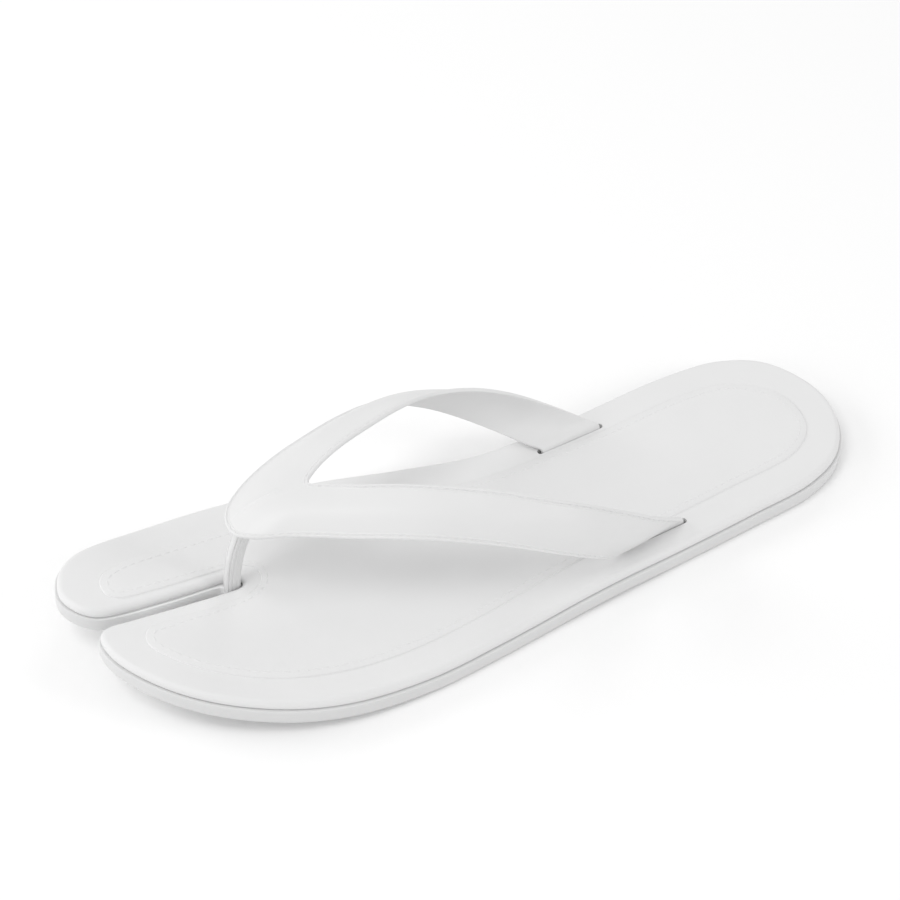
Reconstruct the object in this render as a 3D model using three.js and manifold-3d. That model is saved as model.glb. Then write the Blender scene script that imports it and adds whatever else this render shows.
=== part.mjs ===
// Split-toe thong sandal for the left foot, moulded in white rubber.
// Millimetres. The toes point to -X, the inner (big toe) side is +Y, and +Z is up.
// The origin lies on the floor under the middle of the sandal's box.
import * as THREE from "three";
import { mergeVertices } from "three/addons/utils/BufferGeometryUtils.js";
import Module from "manifold-3d";

const wasm = await Module();
wasm.setup();

// Main sizes of the sole: a constant stack of layers that follows one bent side profile.
const LENGTH = 280;
const SEAM = 0.3; // space left between neighbouring pieces
const OUTSOLE_BOTTOM = 0.3; // the underside stands on two low pads
const OUTSOLE_TOP = 6.4;
const FOOTBED_BOTTOM = OUTSOLE_TOP + SEAM;
const FOOTBED_TOP = 9.6;
const POCKET_FLOOR = 8.4; // the footbed's shallow recess for the insole
const INSOLE_BOTTOM = POCKET_FLOOR + SEAM;
const INSOLE_TOP = 10.1;

// Side profile of the sole: toe spring, waist arch and a slight lift at the back of the heel.
const TOE_SPRING = { rise: 14, start: -32, power: 1.9 };
const WAIST_ARCH = { rise: 0.7, from: -5, to: 60 };
const HEEL_LIFT = { rise: 1.5, start: 118, power: 2 };
const PROFILE_STEP = 10; // spacing of the stations along the profile

// Outer edge of the sole in plan, from the big toe tip round by the heel to the little toes.
const OUTLINE = [
  { x: -140, y: 31.4 }, // big toe tip
  { x: -135.6, y: 41.2 },
  { x: -126, y: 47.5 },
  { x: -100, y: 49.6 }, // side of the big toe
  { x: -72, y: 48.7 }, // inner ball
  { x: -40, y: 43.2 },
  { x: -10, y: 33 },
  { x: 20, y: 24.1 }, // inner waist
  { x: 55, y: 23 },
  { x: 95, y: 22.9 },
  { x: 118, y: 19.2 },
  { x: 132, y: 9.7 },
  { x: 139.9, y: -10.5 }, // heel end
  { x: 137.4, y: -27 },
  { x: 128, y: -38.8 },
  { x: 112, y: -44.9 },
  { x: 85, y: -46.2 },
  { x: 50, y: -46.9 }, // outer waist
  { x: 10, y: -47.7 },
  { x: -20, y: -49.1 },
  { x: -48, y: -49.4 }, // outer ball
  { x: -75, y: -46.1 },
  { x: -95, y: -39.4 },
  { x: -115, y: -27.3 }, // little toes
  { x: -128, y: -14.2 },
  { x: -135.6, y: -0.5 },
];

// The split between the toe lobes: a slit whose corners open out at the mouth.
const SPLIT_MOUTH = { x: -137, y: 16.2 };
const SPLIT_ROOT = { x: -82, y: 14.6 };
const OUTSOLE_SPLIT = { half: 2, rootX: -87.7 };
const FOOTBED_SPLIT = { half: 2, rootX: -82.5 };
const ROOT_ROUND = { back: 0.3, side: 0.72 }; // shares of the half width at the round root
const OUTER_LOBE_CORNER = [
  { x: -136.6, back: 5.9 },
  { x: -135, back: 2.3 },
  { x: -131.8, back: 0.4 },
  { x: -122, back: 0 },
];
const INNER_LOBE_CORNER = [
  { x: -122, back: 0 },
  { x: -130.9, back: 0.7 },
  { x: -135, back: 2.7 },
  { x: -138.4, back: 6.8 },
];

// Edge of the raised insole in plan, in the same direction as the outline.
const INSOLE_EDGE = [
  { x: -125.7, y: 30.6 }, // big toe tip
  { x: -122.6, y: 34.4 },
  { x: -114, y: 36.9 },
  { x: -95, y: 37.2 },
  { x: -72, y: 36 }, // inner ball
  { x: -45, y: 30 },
  { x: -15, y: 19.9 },
  { x: 18, y: 12.6 }, // inner waist
  { x: 55, y: 10.9 },
  { x: 95, y: 10.8 },
  { x: 112, y: 7.6 },
  { x: 123.6, y: -2 },
  { x: 127.6, y: -13 }, // heel end
  { x: 124.6, y: -25 },
  { x: 114, y: -32 },
  { x: 85, y: -33.8 },
  { x: 50, y: -34.4 }, // outer waist
  { x: 10, y: -34.9 },
  { x: -20, y: -37.5 },
  { x: -48, y: -38 }, // outer ball
  { x: -72, y: -35.2 },
  { x: -93, y: -28.4 },
  { x: -110, y: -17.4 }, // little toes
  { x: -119.6, y: -6.6 },
  { x: -123.3, y: 1.2 },
  { x: -120.6, y: 6.8 },
  { x: -110, y: 7.8 }, // outer side of the split
  { x: -92, y: 7.2 },
  { x: -81.8, y: 8 },
  { x: -76.4, y: 11.6 },
  { x: -75.6, y: 16.2 }, // behind the split's root
  { x: -79.6, y: 19.6 },
  { x: -89.4, y: 20.6 },
  { x: -112, y: 21.4 }, // inner side of the split
  { x: -122, y: 22.2 },
  { x: -125.8, y: 25.2 },
];

// How each layer's rim is rounded, as insets from its outline at heights in the stack.
const EDGE_REACH = 14; // the rim runs on past the layer, which the profile then trims
const OUTSOLE_RIM = [
  { inset: 0.6, level: -EDGE_REACH },
  { inset: 0.6, level: OUTSOLE_BOTTOM },
  { inset: 0, level: OUTSOLE_BOTTOM + 0.8 },
  { inset: 0, level: OUTSOLE_TOP - 0.6 },
  { inset: 0.45, level: OUTSOLE_TOP - 0.05 },
  { inset: 0.5, level: OUTSOLE_TOP + EDGE_REACH },
];
const FOOTBED_ROLL = { radius: 2.2, steps: 3, sweep: 80 };
const FOOTBED_LOWER_ROUND = 0.6;
const FOOTBED_LEDGE = 0.5; // how far the footbed's edge stands inside the outsole's
const INSOLE_RIM = [
  { inset: 0, level: INSOLE_BOTTOM - EDGE_REACH },
  { inset: 0, level: INSOLE_TOP - 0.4 },
  { inset: 0.4, level: INSOLE_TOP - 0.04 },
  { inset: 0.45, level: INSOLE_TOP + EDGE_REACH },
];

// Flat pads under the heel and the ball, on which the sandal rests.
const PAD_HEIGHT = 2;
const REST_PADS = [
  { x: 90, y: -12, length: 48, width: 48 }, // heel
  { x: -19, y: -7, length: 26, width: 66 }, // ball
];

// Slots in the rim of the footbed that take the ends of the straps.
const SLOT = { x: 48.9, length: 27.4, width: 2.9 };
const INNER_SLOT_Y = 13.5;
const OUTER_SLOT_Y = -37.6;

// The strap runs from the inner slot over the nose to the outer slot. Each row is one section,
// from its rear (upper) edge to its front (lower) edge.
// crown is the height of the outer face's bulge, hollow that of the under face.
const STRAP_EDGE = 1.7; // thickness at the thin flange
const CROWN = 2;
const HOLLOW = 1;
const ARCH_POWER = 1.2; // over 1 leaves flat flanges beside the bulge
const STRAP = [
  { rear: [61.2, 13.2, 5], front: [36.6, 13.2, 5], swell: 0 }, // inner slot
  { rear: [61, 13.5, 10.6], front: [36.6, 13.4, 10.4], swell: 0.1 },
  { rear: [56.4, 16.3, 13.8], front: [32, 17, 13], swell: 0.5 },
  { rear: [45.5, 21.2, 21.6], front: [24.5, 24, 17], swell: 0.9 },
  { rear: [29, 25.6, 33], front: [13, 30.3, 24.8], swell: 1 },
  { rear: [13.5, 27.7, 41], front: [2, 34.3, 32], swell: 1 },
  { rear: [-2, 27.3, 46.7], front: [-9, 37.3, 37.4], swell: 1 }, // inner shoulder
  { rear: [-16, 23.5, 51.8], front: [-20, 36.8, 42.8], swell: 1 },
  { rear: [-30, 19.5, 54.4], front: [-34.4, 34.1, 46.6], swell: 1 },
  { rear: [-43.2, 16.1, 55.2], front: [-50, 30.7, 48.1], swell: 1 },
  { rear: [-51.4, 13.8, 54.1], front: [-59.5, 29.1, 47.6], swell: 1 },
  { rear: [-55.8, 12.1, 53], front: [-69.4, 26.6, 46.7], swell: 1 },
  { rear: [-57.9, 10.9, 52.7], front: [-78, 23.1, 45.8], swell: 0.95 },
  { rear: [-58.6, 10.1, 52.6], front: [-84.2, 19, 44.8], swell: 0.9 },
  { rear: [-58.9, 9.3, 52.6], front: [-87.4, 13.2, 44.6], swell: 0.85 }, // crotch and nose
  { rear: [-58.4, 8.4, 52.7], front: [-87.3, 7.6, 45.2], swell: 0.9 },
  { rear: [-57.2, 7.3, 52.9], front: [-82.2, 2.1, 46.2], swell: 0.95 },
  { rear: [-54.5, 5.2, 53.4], front: [-74.5, -2.2, 46.8], swell: 1 },
  { rear: [-50.5, 2.2, 54.2], front: [-66, -7.6, 47], swell: 1 },
  { rear: [-45.5, -1.6, 55], front: [-57, -13.8, 47.2], swell: 1 },
  { rear: [-35, -8.1, 55.5], front: [-45, -21.5, 47.7], swell: 1 },
  { rear: [-22, -16.5, 55], front: [-32, -29, 46.5], swell: 1 },
  { rear: [-8, -25.4, 53.6], front: [-18, -35, 42.3], swell: 1 }, // outer shoulder
  { rear: [6, -33.2, 49.4], front: [-6, -38.4, 36.4], swell: 1 },
  { rear: [21, -37.5, 41.7], front: [5, -41.1, 30.1], swell: 1 },
  { rear: [35, -39.3, 31.9], front: [16, -42.4, 23], swell: 1 },
  { rear: [48, -39.5, 21.4], front: [25.6, -41, 15.4], swell: 0.7 },
  { rear: [57, -38.4, 14.4], front: [31.6, -39.6, 11.8], swell: 0.25 },
  { rear: [61, -37.5, 10.6], front: [36, -37.7, 10.4], swell: 0 },
  { rear: [61.2, -37.3, 5], front: [36.4, -37.3, 5], swell: 0 }, // outer slot
];

// Toe post between the first two toes, from the outsole up into the nose of the straps.
const TOE_POST = [
  { x: -85.4, y: 14.7, z: 8.8, length: 5.6, width: 4.2 },
  { x: -85.5, y: 14.6, z: 14.8, length: 5.6, width: 4.2 },
  { x: -84.3, y: 14, z: 26.8, length: 6.2, width: 4.2 },
  { x: -81.8, y: 13.1, z: 37.8, length: 6.8, width: 4.4 },
  { x: -79.3, y: 12.3, z: 46.8, length: 7.4, width: 6.2 },
];
const POST_SQUARENESS = 0.7; // 1 is an oval, less is nearer a rectangle
const POST_WELL = { x: -85.4, length: 10.6, width: 4.8 };
const WELL_DEPTH = 40; // wells run up through every layer of the sole

// How finely the curves are faceted.
const LOOP_STEPS = 4; // steps between two rows of a plan outline
const STRAP_STEPS = 3; // steps between two strap sections
const ACROSS = 8; // steps across a strap
const POST_STEPS = 2;
const POST_SIDES = 12;
const END_SEGMENTS = 5; // steps round a slot's end
const WELD = 1e-4; // corners nearer than this are one corner

const RUBBER = { color: 0xe9e9e9, roughness: 0.55, metalness: 0 };
const STRAP_RUBBER = { color: 0xeeeeee, roughness: 0.48, metalness: 0 };

// Height of the sole's underside above the floor at a place along its length.
function soleRise(x) {
  const half = LENGTH / 2;
  const toe = Math.max(0, (TOE_SPRING.start - x) / (TOE_SPRING.start + half));
  const heel = Math.max(0, (x - HEEL_LIFT.start) / (half - HEEL_LIFT.start));
  const along = (x - WAIST_ARCH.from) / (WAIST_ARCH.to - WAIST_ARCH.from);
  const waist = Math.sin(Math.PI * THREE.MathUtils.clamp(along, 0, 1));
  return (
    TOE_SPRING.rise * toe ** TOE_SPRING.power +
    HEEL_LIFT.rise * heel ** HEEL_LIFT.power +
    WAIST_ARCH.rise * waist ** 2
  );
}

// Middle of the split across the sandal at a place along its length.
function splitMiddle(x) {
  const along = (x - SPLIT_MOUTH.x) / (SPLIT_ROOT.x - SPLIT_MOUTH.x);
  return THREE.MathUtils.lerp(SPLIT_MOUTH.y, SPLIT_ROOT.y, along);
}

// Rows of the plan outline with a split of the given half width and root.
function splitOutline({ half, rootX }) {
  const side = (x, offset) => ({ x, y: splitMiddle(x) + offset });
  const midway = (OUTER_LOBE_CORNER.at(-1).x + rootX - half) / 2;
  const outer = [
    ...OUTER_LOBE_CORNER.map(({ x, back }) => side(x, -half - back)),
    side(midway, -half),
    side(rootX - half, -half),
    side(rootX - ROOT_ROUND.back * half, -ROOT_ROUND.side * half),
  ];
  const inner = [
    side(rootX - ROOT_ROUND.back * half, ROOT_ROUND.side * half),
    side(rootX - half, half),
    side(midway, half),
    ...INNER_LOBE_CORNER.map(({ x, back }) => side(x, half + back)),
  ];
  return [...OUTLINE, ...outer, side(rootX, 0), ...inner];
}

// Closed smooth loop through the rows of a plan outline, as 2D points.
function smoothLoop(rows) {
  const knots = rows.map(({ x, y }) => new THREE.Vector3(x, y, 0));
  const curve = new THREE.CatmullRomCurve3(knots, true, "centripetal");
  const count = rows.length * LOOP_STEPS;
  return Array.from({ length: count }, (_, i) => {
    const p = curve.getPoint(i / count);
    return new THREE.Vector2(p.x, p.y);
  }).reverse();
}

// The loop moved inwards by a distance, along the normals of a loop that runs anticlockwise.
function insetLoop(loop, inset) {
  return loop.map((p, i) => {
    const before = loop.at(i - 1);
    const after = loop[(i + 1) % loop.length];
    const along = after.clone().sub(before).normalize();
    return new THREE.Vector2(p.x - along.y * inset, p.y + along.x * inset);
  });
}

// Closed skin through a list of rings of equal length, with flat-triangulated end caps.
function skin(rings, capTriangles) {
  const n = rings[0].length;
  const positions = rings.flat().flatMap((p) => [p.x, p.y, p.z]);
  const last = (rings.length - 1) * n;
  const index = [];
  for (let r = 0; r + 1 < rings.length; r++) {
    for (let i = 0; i < n; i++) {
      const a = r * n + i;
      const b = r * n + ((i + 1) % n);
      index.push(a, b, b + n, a, b + n, a + n);
    }
  }
  for (const [a, b, c] of capTriangles) {
    index.push(a, c, b, last + a, last + b, last + c);
  }
  const geometry = new THREE.BufferGeometry();
  geometry.setAttribute("position", new THREE.Float32BufferAttribute(positions, 3));
  geometry.setIndex(index);
  return geometry;
}

// A layer's rim: its loop carried up through the rim's insets, bent to the sole's profile.
function rimSkin(loop, rim) {
  const rings = rim.map(({ inset, level }) =>
    insetLoop(loop, inset).map((p) => new THREE.Vector3(p.x, p.y, level + soleRise(p.x))),
  );
  return skin(rings, THREE.ShapeUtils.triangulateShape(loop, []));
}

// A sheet across the whole sandal between two heights of the sole's stack.
function profileSheet(bottom, top) {
  const reach = LENGTH / 2 + 3 * PROFILE_STEP;
  const width = LENGTH;
  const count = Math.round((2 * reach) / PROFILE_STEP);
  const stations = Array.from({ length: count + 1 }, (_, i) => -reach + (i * 2 * reach) / count);
  const upper = stations.map((x) => new THREE.Vector2(x, soleRise(x) + top));
  const lower = stations.map((x) => new THREE.Vector2(x, soleRise(x) + bottom));
  const shape = new THREE.Shape([...lower, ...upper.reverse()]);
  const sheet = new THREE.ExtrudeGeometry(shape, { depth: width, bevelEnabled: false });
  sheet.rotateX(Math.PI / 2);
  sheet.translate(0, width / 2, 0);
  return sheet;
}

// An upright block with round ends along X, over every layer of the sole.
function roundEndedBlock({ x, length, width }, y) {
  const radius = width / 2;
  const reach = length / 2 - radius;
  const shape = new THREE.Shape();
  shape.absarc(x + reach, y, radius, -Math.PI / 2, Math.PI / 2, false);
  shape.absarc(x - reach, y, radius, Math.PI / 2, 1.5 * Math.PI, false);
  const options = { depth: WELL_DEPTH, bevelEnabled: false, curveSegments: END_SEGMENTS };
  return new THREE.ExtrudeGeometry(shape, options);
}

// The strap: its two edges are smooth curves, and every section between them is a crowned band.
function strapSkin(rows) {
  const edge = (key) => {
    const knots = rows.map((row) => new THREE.Vector3(...row[key]));
    return new THREE.CatmullRomCurve3(knots, false, "centripetal");
  };
  const rear = edge("rear");
  const front = edge("front");
  const count = (rows.length - 1) * STRAP_STEPS;
  const rings = Array.from({ length: count + 1 }, (_, i) => {
    const t = i / count;
    const a = rear.getPoint(t);
    const b = front.getPoint(t);
    const ahead = rear.getTangent(t).add(front.getTangent(t));
    const normal = b.clone().sub(a).cross(ahead).normalize();
    return strapSection(a, b, normal, swellAt(rows, i / STRAP_STEPS));
  });
  const flat = rings[0].map((_, i) => i);
  const fan = flat.slice(1, -1).map((i) => [0, i, i + 1]);
  return skin(rings, fan);
}

// Share of the full bulge at a place between two rows of the strap.
function swellAt(rows, place) {
  const k = Math.min(Math.floor(place), rows.length - 2);
  return THREE.MathUtils.lerp(rows[k].swell, rows[k + 1].swell, place - k);
}

// Closed section of the strap: flat flanges at both edges, a crowned outer face and a hollow under face.
function strapSection(rear, front, normal, bulge) {
  const across = Array.from({ length: ACROSS + 1 }, (_, i) => i / ACROSS);
  const arch = (u) => bulge * Math.sin(Math.PI * u) ** ARCH_POWER;
  const place = (u, height) => rear.clone().lerp(front, u).addScaledVector(normal, height);
  const outer = across.map((u) => place(u, STRAP_EDGE / 2 + CROWN * arch(u)));
  const under = across.map((u) => place(u, HOLLOW * arch(u) - STRAP_EDGE / 2));
  return [...outer, ...under.reverse()];
}

// The toe post: oval sections on a leaning line.
function postSkin(rows) {
  const curve = (pick) => new THREE.CatmullRomCurve3(rows.map(pick), false, "centripetal");
  const middle = curve((row) => new THREE.Vector3(row.x, row.y, row.z));
  const sizes = curve((row) => new THREE.Vector3(row.length, row.width, row.z));
  const count = (rows.length - 1) * POST_STEPS;
  const rings = Array.from({ length: count + 1 }, (_, i) => {
    const centre = middle.getPoint(i / count);
    const size = sizes.getPoint(i / count);
    return Array.from({ length: POST_SIDES }, (_, k) => {
      const angle = (2 * Math.PI * (k + 0.5)) / POST_SIDES;
      const dx = (size.x / 2) * squared(Math.cos(angle));
      const dy = (size.y / 2) * squared(Math.sin(angle));
      return new THREE.Vector3(centre.x + dx, centre.y + dy, centre.z);
    });
  });
  const flat = rings[0].map((p) => new THREE.Vector2(p.x, p.y));
  return skin(rings, THREE.ShapeUtils.triangulateShape(flat, []));
}

// Pushes a circle's coordinate outwards, towards a square with round corners.
function squared(value) {
  return Math.sign(value) * Math.abs(value) ** POST_SQUARENESS;
}

// A closed geometry as a solid that can be joined and cut.
function solid(geometry) {
  const bare = geometry.clone();
  bare.deleteAttribute("normal");
  bare.deleteAttribute("uv");
  const merged = mergeVertices(bare, WELD);
  return new wasm.Manifold(
    new wasm.Mesh({
      numProp: 3,
      vertProperties: new Float32Array(merged.getAttribute("position").array),
      triVerts: new Uint32Array(merged.index.array),
    }),
  );
}

// A solid as a named mesh with its own material.
function part(name, made, finish) {
  const { vertProperties, triVerts } = made.getMesh();
  const geometry = new THREE.BufferGeometry();
  geometry.setAttribute("position", new THREE.Float32BufferAttribute(vertProperties, 3));
  geometry.setIndex(new THREE.BufferAttribute(triVerts, 1));
  geometry.computeVertexNormals();
  const mesh = new THREE.Mesh(geometry, new THREE.MeshStandardMaterial(finish));
  mesh.name = name;
  return mesh;
}

// The part of a rim's column that lies between two heights of the stack.
function layer(loop, rim, bottom, top) {
  return solid(rimSkin(loop, rim)).intersect(solid(profileSheet(bottom, top)));
}

const slots = [INNER_SLOT_Y, OUTER_SLOT_Y].map((y) => solid(roundEndedBlock(SLOT, y)));

// A block that stands on the floor.
function padBlock({ x, y, length, width }) {
  return new THREE.BoxGeometry(length, width, PAD_HEIGHT).translate(x, y, PAD_HEIGHT / 2);
}

function makeOutsole() {
  const loop = smoothLoop(splitOutline(OUTSOLE_SPLIT));
  const body = layer(loop, OUTSOLE_RIM, OUTSOLE_BOTTOM, OUTSOLE_TOP);
  return REST_PADS.reduce((body, pad) => body.add(solid(padBlock(pad))), body);
}

function makeFootbed() {
  const { radius, steps, sweep } = FOOTBED_ROLL;
  const roll = Array.from({ length: steps + 1 }, (_, i) => {
    const angle = THREE.MathUtils.degToRad((sweep * i) / steps);
    const inset = radius * (1 - Math.cos(angle));
    return { inset, level: FOOTBED_TOP - radius * (1 - Math.sin(angle)) };
  });
  const edge = [
    { inset: FOOTBED_LOWER_ROUND, level: FOOTBED_BOTTOM - EDGE_REACH },
    { inset: FOOTBED_LOWER_ROUND, level: FOOTBED_BOTTOM },
    { inset: 0, level: FOOTBED_BOTTOM + FOOTBED_LOWER_ROUND },
    ...roll,
    { inset: radius, level: FOOTBED_TOP + EDGE_REACH },
  ];
  const rim = edge.map(({ inset, level }) => ({ inset: inset + FOOTBED_LEDGE, level }));
  const body = layer(smoothLoop(splitOutline(FOOTBED_SPLIT)), rim, FOOTBED_BOTTOM, FOOTBED_TOP);
  const pocketRim = [-EDGE_REACH, EDGE_REACH].map((reach) => ({
    inset: -SEAM,
    level: FOOTBED_TOP + reach,
  }));
  const pocket = layer(smoothLoop(INSOLE_EDGE), pocketRim, POCKET_FLOOR, FOOTBED_TOP + EDGE_REACH);
  return slots.reduce((body, slot) => body.subtract(slot), body.subtract(pocket));
}

function makeInsole() {
  const body = layer(smoothLoop(INSOLE_EDGE), INSOLE_RIM, INSOLE_BOTTOM, INSOLE_TOP);
  return slots.reduce((body, slot) => body.subtract(slot), body);
}

// The strap and the post, trimmed clear of the sole apart from the slots and the split's root.
function makeUpper() {
  const joined = solid(strapSkin(STRAP)).add(solid(postSkin(TOE_POST)));
  const tongue = { ...SLOT, length: SLOT.length - 4 * SEAM, width: SLOT.width - 2 * SEAM };
  const wells = [
    roundEndedBlock(tongue, INNER_SLOT_Y),
    roundEndedBlock(tongue, OUTER_SLOT_Y),
    roundEndedBlock(POST_WELL, splitMiddle(POST_WELL.x)),
  ].map(solid);
  const seats = solid(profileSheet(-EDGE_REACH, FOOTBED_BOTTOM));
  const cover = solid(profileSheet(-EDGE_REACH, INSOLE_TOP + SEAM));
  const clear = wells.reduce((sheet, well) => sheet.subtract(well), cover).add(seats);
  return joined.subtract(clear);
}

const group = new THREE.Group();
group.add(
  part("outsole", makeOutsole(), RUBBER),
  part("footbed", makeFootbed(), RUBBER),
  part("insole", makeInsole(), RUBBER),
  part("upper", makeUpper(), STRAP_RUBBER),
);

export default group;
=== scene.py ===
"""Split-toe thong sandal for the left foot, moulded in white rubber.

Sizes are in millimetres and become metres when a mesh is made. The toes point to -X, the inner
(big toe) side is +Y and +Z is up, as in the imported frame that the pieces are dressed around.
"""
import logging
import math
from collections.abc import Callable
from dataclasses import dataclass, field
from enum import Enum

import bmesh
import bpy
import numpy as np
from mathutils import Matrix, Vector
from mathutils.geometry import delaunay_2d_cdt


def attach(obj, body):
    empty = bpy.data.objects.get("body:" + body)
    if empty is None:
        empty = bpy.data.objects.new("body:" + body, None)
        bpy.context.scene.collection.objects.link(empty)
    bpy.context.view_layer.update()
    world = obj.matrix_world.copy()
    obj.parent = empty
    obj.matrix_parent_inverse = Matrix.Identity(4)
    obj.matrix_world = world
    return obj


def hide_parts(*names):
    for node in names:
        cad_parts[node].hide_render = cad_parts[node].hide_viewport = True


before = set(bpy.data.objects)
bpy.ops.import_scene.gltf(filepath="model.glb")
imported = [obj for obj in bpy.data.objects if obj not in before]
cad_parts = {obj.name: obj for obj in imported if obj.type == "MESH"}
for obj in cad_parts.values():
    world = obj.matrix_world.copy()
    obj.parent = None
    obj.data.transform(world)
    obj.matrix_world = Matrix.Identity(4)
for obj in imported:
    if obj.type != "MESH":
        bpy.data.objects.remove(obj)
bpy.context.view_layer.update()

LOG = logging.getLogger("sandal")

# Width of the picture that the focal length is given for, in pixels.
IMAGE_SIZE = 900
# One millimetre in metres.
MM = 0.001
# Points closer than this, in millimetres, are doubles.
DOUBLES = 0.002
# Edges that turn by more than this, in degrees, stay sharp.
SHARP_ANGLE = 38
# Least number that is divided by, and the distance under which two plan points are one.
TINY = 1e-9
SAME_PLACE = 1e-6

Array = np.ndarray
Rows = tuple[tuple[float, ...], ...]
Lift = Callable[[Array], Array]
Socket = bpy.types.NodeSocket


class Join(Enum):
    """How one closed mesh is combined with another."""

    UNITE = "UNION"
    CUT = "DIFFERENCE"


class Slot(Enum):
    """Material slots of the record."""

    SOLE = "sole_rubber"
    STRAP = "strap_rubber"


def linear(code: str) -> tuple[float, float, float, float]:
    """Turns an sRGB hex colour into linear light: a straight foot, and a power curve above it.

    Args:
        code: Six hex digits.

    Returns:
        Red, green, blue and a full alpha.
    """
    srgb = np.array([int(code[i:i + 2], 16) for i in (0, 2, 4)]) / 255
    light = np.where(srgb <= 0.04045, srgb / 12.92, ((srgb + 0.055) / 1.055) ** 2.4)
    return (*light.tolist(), 1.0)


def root_length(a: Array, b: Array) -> Array:
    """Square root of the distance between matching rows, as a column."""
    return np.maximum(np.linalg.norm(a - b, axis=1) ** 0.5, TINY)[:, None]


def spline(knots: Array, steps: int, closed: bool = False) -> Array:
    """Centripetal spline through points.

    Each span is the cubic whose end slopes weigh the neighbouring spans by the root of their length.

    Args:
        knots: Points that the curve goes through, one per row.
        steps: Points made for each span.
        closed: Whether the last knot joins the first.

    Returns:
        Points along the curve, one per row.
    """
    knots = np.asarray(knots, float)
    if closed:
        p0, p1, p2, p3 = (np.roll(knots, shift, axis=0) for shift in (1, 0, -1, -2))
    else:
        longer = np.vstack([2 * knots[0] - knots[1], knots, 2 * knots[-1] - knots[-2]])
        p0, p1, p2, p3 = longer[:-3], longer[1:-2], longer[2:-1], longer[3:]
    d0, d1, d2 = root_length(p0, p1), root_length(p1, p2), root_length(p2, p3)
    slope1 = ((p1 - p0) / d0 - (p2 - p0) / (d0 + d1) + (p2 - p1) / d1) * d1
    slope2 = ((p2 - p1) / d1 - (p3 - p1) / (d1 + d2) + (p3 - p2) / d2) * d1
    s = np.linspace(0, 1, steps, endpoint=False)[None, :, None]
    square = (3 * (p2 - p1) - 2 * slope1 - slope2)[:, None]
    cube = (2 * (p1 - p2) + slope1 + slope2)[:, None]
    points = p1[:, None] + slope1[:, None] * s + square * s**2 + cube * s**3
    points = points.reshape(-1, knots.shape[1])
    return points if closed else np.vstack([points, knots[-1:]])


def unit(vectors: Array) -> Array:
    """Rows scaled to length one."""
    return vectors / np.maximum(np.linalg.norm(vectors, axis=-1, keepdims=True), TINY)


def evenly(path: Array, spacing: float, closed: bool = False) -> Array:
    """Places along a path that lie about one spacing apart.

    Args:
        path: Points of the path, one per row.
        spacing: Distance wanted between two places.
        closed: Whether the path's end joins its start.

    Returns:
        The places, one per row.
    """
    chain = np.vstack([path, path[:1]]) if closed else path
    reach = np.concatenate([[0], np.cumsum(np.linalg.norm(np.diff(chain, axis=0), axis=1))])
    count = max(2, round(reach[-1] / spacing))
    where = np.linspace(0, reach[-1], count, endpoint=not closed)
    return np.stack([np.interp(where, reach, column) for column in chain.T], axis=1)


def inset(loop: Array, distance: float) -> Array:
    """A plan loop moved inwards along its normals; the loop runs clockwise seen from above.

    Args:
        loop: Plan points, one per row.
        distance: How far inwards, or outwards where negative.

    Returns:
        The moved loop.
    """
    along = unit(np.roll(loop, -1, axis=0) - np.roll(loop, 1, axis=0))
    return loop + distance * np.stack([along[:, 1], -along[:, 0]], axis=1)


def inside(points: Array, loop: Array) -> Array:
    """Tests which plan points a loop encloses, by counting the edges that a ray along +X crosses.

    Args:
        points: Plan points, one per row.
        loop: Plan loop, one point per row.

    Returns:
        One truth value per point.
    """
    x, y = points[:, :1], points[:, 1:]
    a, b = loop, np.roll(loop, -1, axis=0)
    spans = (a[:, 1] > y) != (b[:, 1] > y)
    slope = (b[:, 0] - a[:, 0]) / np.where(b[:, 1] == a[:, 1], TINY, b[:, 1] - a[:, 1])
    crossing = a[:, 0] + (y - a[:, 1]) * slope
    return np.sum(spans & (x < crossing), axis=1) % 2 == 1


def arc(radius: float, start: float, end: float, steps: int) -> Array:
    """Points of a circle's arc about zero, by angles in degrees, as cosine and sine columns."""
    angle = np.radians(np.linspace(start, end, steps))
    return radius * np.stack([np.cos(angle), np.sin(angle)], axis=1)


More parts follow.
